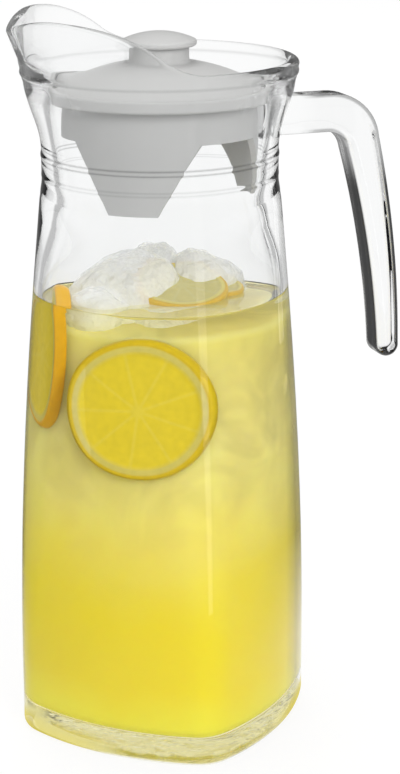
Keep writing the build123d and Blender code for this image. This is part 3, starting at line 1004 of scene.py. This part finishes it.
def make_drink():
    """The clear drink that wets the glass, and its cloudy core."""
    wall = hollow_rings(lambda height: DRINK_OVERLAP, DRINK_Z)
    edge = hollow_radius(DRINK_Z) + DRINK_OVERLAP
    surface = [ring_points(edge, DRINK_Z + CREEP)]
    for inset in SURFACE_INSETS:
        surface.append(ring_points(edge - inset, DRINK_Z + CREEP * math.exp(-inset / CREEP_RUN)))
    drink = closed_piece("drink", surface[::-1] + wall)
    # The last two points close the ends: the middle of the surface, then the middle of the floor
    bend = np.full(len(drink.data.vertices), DRINK_WALL_BEND)
    bend[: len(surface) * AROUND] = DRINK_BEND
    bend[-2] = DRINK_BEND
    add_layer(drink, "bend", bend)
    drink.data.materials.append(drink_material())
    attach(drink, "jug")
    rings = hollow_rings(cloud_gap, DRINK_Z - CLOUD_DROP)
    crown = []
    for share in CLOUD_CROWN_SHARES:
        crown.append(rings[0] * (share, share, 1) + (0, 0, CLOUD_CROWN * (1 - share)))
    core = closed_piece("drink_cloud", crown + rings)
    core.data.materials.append(cloud_material())
    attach(core, "jug")


def slice_material():
    """Wet lemon, painted by ring and segment, with fine pulp."""
    material, tree = new_material("lemon")
    pulp = speckle(tree, *PULP)
    shade = ranged(tree, pulp, 0.0, 1.0, *PULP_TONES)
    inputs = {
        "Base Color": mixed(tree, 1.0, layer_of(tree, "paint", "Color"), shade, "MULTIPLY"),
        "Roughness": 0.35,
        "Normal": bumped(tree, pulp, *PULP_BUMP),
    }
    put_out(tree, matt_surface(tree, inputs))
    return material


def slice_paint(share, turn, radius, rind, flesh):
    """Colour of a slice at a share of its radius and an angle."""
    phase = turn * SEGMENTS / (2 * math.pi)
    apart = abs(phase - round(phase)) * 2 * math.pi / SEGMENTS * share * radius
    wall = 1 - rise(apart, *MEMBRANE_EDGE)
    core = 1 - rise(share, *CORE_EDGE)
    colour = flesh + (MEMBRANE - FLESH) * max(wall, core)
    colour = colour + (PITH - colour) * rise(share, *PITH_START)
    return colour + (rind - colour) * rise(share, *RIND_START)


def slice_profile(half):
    """A slice from the middle of its front, round its rind, to the middle of its back: share and height."""
    flesh_end = SLICE_FACE[1]
    face = []
    for share in np.linspace(*SLICE_FACE):
        face.append((share, half - SLICE_DIP * smooth_step((flesh_end - share) / SLICE_DIP_RUN)))
    face += [(share, half) for share in SLICE_RIM]
    flat = SLICE_RIM[-1]
    edge = []
    for turn in np.radians(np.arange(90 - ARC_STEP, -90, -ARC_STEP)):
        edge.append((flat + (1 - flat) * math.cos(turn), half * math.sin(turn)))
    return face + edge + [(share, -height) for share, height in face[::-1]]


def make_slice(material, name, centre, facing, lean, radius, narrow, thickness, spin, rind, flesh):
    """A lemon slice: its middle, the way it faces, its lean, size, oval, thickness, turn and colours."""
    about = Matrix.Rotation(math.radians(facing - 270), 3, "Z")
    tilt = about @ Matrix.Rotation(math.radians(90 + lean), 3, "X")
    oval, dents = SLICE_WOBBLE
    rings, colours = [], []
    for share, height in slice_profile(thickness / 2):
        ring = []
        for k in range(SLICE_AROUND):
            turn = 2 * math.pi * k / SLICE_AROUND
            wobble = 1 + oval * math.sin(2 * turn + spin) + dents * math.sin(5 * turn + 2 * spin)
            reach = share * radius * wobble
            flat = Vector((narrow * reach * math.cos(turn), reach * math.sin(turn), height))
            ring.append(tuple(tilt @ flat + Vector(centre)))
            colours.append((*slice_paint(share, turn + spin, radius, rind, flesh), 1.0))
        rings.append(np.array(ring))
    colours += [(*(flesh + MEMBRANE - FLESH), 1.0)] * 2
    piece = closed_piece(name, rings)
    paint = piece.data.attributes.new("paint", "FLOAT_COLOR", "POINT")
    paint.data.foreach_set("color", np.array(colours, np.float32).ravel())
    piece.data.materials.append(material)
    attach(piece, "jug")


def ice_material(name, ior, clearness):
    """Ice with a wavy, melting surface: a name, an index of refraction, and how clear it is."""
    material, tree = new_material(name)
    inputs = {
        "Base Color": ICE_TINT,
        "IOR": ior,
        "Roughness": ICE_ROUGHNESS,
        "Transmission Weight": clearness,
        "Normal": bumped(tree, speckle(tree, *ICE_WAVES), *ICE_BUMP),
    }
    put_out(tree, clear_surface(tree, inputs))
    return material


def make_ice(material, name, centre, size, turns, seed):
    """A melting lump of ice: a rounded box with uneven faces."""
    spin = Euler([math.radians(t) for t in turns]).to_matrix()
    rings = []
    for level in range(1, ICE_LEVELS):
        tall = math.pi * level / ICE_LEVELS
        ring = []
        for k in range(ICE_AROUND):
            around = 2 * math.pi * k / ICE_AROUND
            flat = math.sin(tall)
            point = Vector((flat * math.cos(around), flat * math.sin(around), math.cos(tall)))
            square = sum(abs(c) ** ICE_POWER for c in point) ** (1 / ICE_POWER)
            uneven = 1 + ICE_LUMPS[0] * noise.noise(point * ICE_LUMPS[1] + Vector((seed, 0, 0)))
            uneven += ICE_DENTS[0] * noise.noise(point * ICE_DENTS[1] + Vector((0, seed, 0)))
            point = point / square * uneven
            sized = Vector([c * s / 2 for c, s in zip(point, size)])
            ring.append(tuple(spin @ sized + Vector(centre)))
        rings.append(np.array(ring))
    piece = closed_piece(name, rings)
    piece.data.materials.append(material)
    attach(piece, "jug")


def make_contents():
    """Lemon slices and ice in the drink."""
    lemon = slice_material()
    for row in SLICES:
        make_slice(lemon, *row)
    floating = ice_material("ice", FLOATING_BEND, FLOATING_CLEARNESS)
    sunken = ice_material("sunken_ice", SUNKEN_BEND, SUNKEN_CLEARNESS)
    for row in FLOATING_ICE:
        make_ice(floating, *row)
    for row in SUNKEN_ICE:
        make_ice(sunken, *row)


def make_camera():
    """The photograph's camera."""
    azimuth, pitch = math.radians(CAMERA_AZIMUTH), math.radians(CAMERA_PITCH)
    yaw, roll = math.radians(CAMERA_YAW), math.radians(CAMERA_ROLL)
    distance = CAMERA_DISTANCE * MM
    place = Vector((math.sin(azimuth) * distance, -math.cos(azimuth) * distance, CAMERA_HEIGHT * MM))
    to_jug = Vector((-math.sin(azimuth), math.cos(azimuth), 0))
    beside = Vector((math.cos(azimuth), math.sin(azimuth), 0))
    ahead = to_jug * math.cos(yaw) + beside * math.sin(yaw)
    right = beside * math.cos(yaw) - to_jug * math.sin(yaw)
    up = Vector((0, 0, 1))
    look = ahead * math.cos(pitch) - up * math.sin(pitch)
    upward = up * math.cos(pitch) + ahead * math.sin(pitch)
    across = right * math.cos(roll) + upward * math.sin(roll)
    upward = upward * math.cos(roll) - right * math.sin(roll)
    data = bpy.data.cameras.new("camera")
    data.sensor_fit = "AUTO"
    data.sensor_width = SENSOR
    data.lens = FOCAL_PIXELS / PHOTO_PIXELS * SENSOR
    camera = bpy.data.objects.new("camera", data)
    bpy.context.scene.collection.objects.link(camera)
    turn = Matrix((across, upward, -look)).transposed().to_4x4()
    camera.matrix_world = Matrix.Translation(place) @ turn
    bpy.context.scene.camera = camera


def seen_directly(tree, amount):
    """A share that holds for rays from the camera, mirrors and clear things, and is nothing for the rest."""
    rays = rays_of(tree)
    seen = math_node(tree, "MAXIMUM", rays["Is Camera Ray"], rays["Is Glossy Ray"])
    seen = math_node(tree, "MAXIMUM", seen, rays["Is Transmission Ray"])
    return math_node(tree, "MULTIPLY", seen, amount)


def wave_around(tree, place, turn, count):
    """A wave from -1 to 1 around the jug, turned, with a number of crests."""
    parts = filled(tree, "ShaderNodeSeparateXYZ", {"Vector": place})
    around = math_node(tree, "ARCTAN2", parts["Y"], parts["X"])
    turned = math_node(tree, "ADD", around, math.radians(turn))
    return math_node(tree, "COSINE", math_node(tree, "MULTIPLY", turned, count))


def strip_level(tree, place, darkest):
    """Brightness around the jug: white with darker upright strips, and all of it dimmer in reflections."""
    rays = rays_of(tree)
    mirrored = math_node(tree, "SUBTRACT", rays["Is Glossy Ray"], rays["Is Transmission Ray"])
    mirrored = math_node(tree, "MAXIMUM", mirrored, 0.0)
    dim = math_node(tree, "MULTIPLY_ADD", mirrored, REFLECTED_LEVEL - 1, 1.0)
    wave = wave_around(tree, place, STRIP_TURN, STRIP_COUNT)
    strip = ranged(tree, wave, STRIP_EDGE, STRIP_CORE, 1.0, darkest, "SMOOTHSTEP")
    return math_node(tree, "MULTIPLY", strip, dim)


def sky(tree, strength):
    """White sky of a strength."""
    return filled(tree, "ShaderNodeBackground", {"Color": WHITE, "Strength": strength})["Background"]


def make_world():
    """White to the camera; soft light for the object; darker upright strips, which draw the glass's edges."""
    world = bpy.data.worlds.new("studio")
    bpy.context.scene.world = world
    world.use_nodes = True
    tree = world.node_tree
    tree.nodes.clear()
    place = place_of(tree, "Generated")
    half = (SKY_LIGHT - SKY_SIDES) / 2
    sides = wave_around(tree, place, -CAMERA_AZIMUTH, SKY_COUNT)
    light = sky(tree, math_node(tree, "MULTIPLY_ADD", sides, -half, SKY_SIDES + half))
    strips = sky(tree, strip_level(tree, place, STRIP_SKY))
    surface = blended(tree, seen_directly(tree, 1.0), light, strips)
    surface = blended(tree, rays_of(tree)["Is Camera Ray"], surface, sky(tree, 1.0))
    filled(tree, "ShaderNodeOutputWorld", {"Surface": surface})


def make_floor():
    """A pale floor that shows white and keeps a faint shadow."""
    corners = [(FLOOR_SIZE * x, FLOOR_SIZE * y, 0) for x, y in ((-1, -1), (1, -1), (1, 1), (-1, 1))]
    floor = mesh_piece("floor", corners, [(0, 1, 2, 3)])
    material, tree = new_material("floor")
    place = place_of(tree)
    reach = tree.nodes.new("ShaderNodeVectorMath")
    reach.operation = "LENGTH"
    fill(tree, reach, {0: place})
    near = ranged(tree, reach.outputs["Value"], STRIP_START, STRIP_FULL, 1.0, 0.0)
    near_or_seen = math_node(tree, "MAXIMUM", near, rays_of(tree)["Is Camera Ray"])
    level = math_node(tree, "MAXIMUM", strip_level(tree, place, STRIP_FLOOR), near_or_seen)
    plain = filled(tree, "ShaderNodeBsdfDiffuse", {"Color": FLOOR_COLOUR})["BSDF"]
    white = filled(tree, "ShaderNodeEmission", {"Strength": level})["Emission"]
    put_out(tree, blended(tree, seen_directly(tree, FLOOR_WHITE), plain, white))
    floor.data.materials.append(material)


def make_lamp(name, place, width, height, watts, mirrored):
    """A soft lamp that points at the jug: it lights matt things, or is only mirrored in glass and gloss."""
    data = bpy.data.lights.new(name, "AREA")
    data.energy = watts
    data.shape = "RECTANGLE"
    data.size = width
    data.size_y = height
    lamp = bpy.data.objects.new(name, data)
    lamp.location = place
    lamp.visible_camera = False
    lamp.visible_transmission = False
    lamp.visible_glossy = mirrored
    lamp.visible_diffuse = not mirrored
    aim = Vector((0, 0, min(place[2], LAMP_AIM_Z))) - Vector(place)
    lamp.rotation_mode = "QUATERNION"
    lamp.rotation_quaternion = aim.to_track_quat("-Z", "Y")
    bpy.context.scene.collection.objects.link(lamp)


bpy.context.scene.view_settings.view_transform = "Standard"
make_camera()
make_glass()
make_lid()
make_drink()
make_contents()
make_floor()
make_world()
for lamp_row in LAMPS:
    make_lamp(*lamp_row)
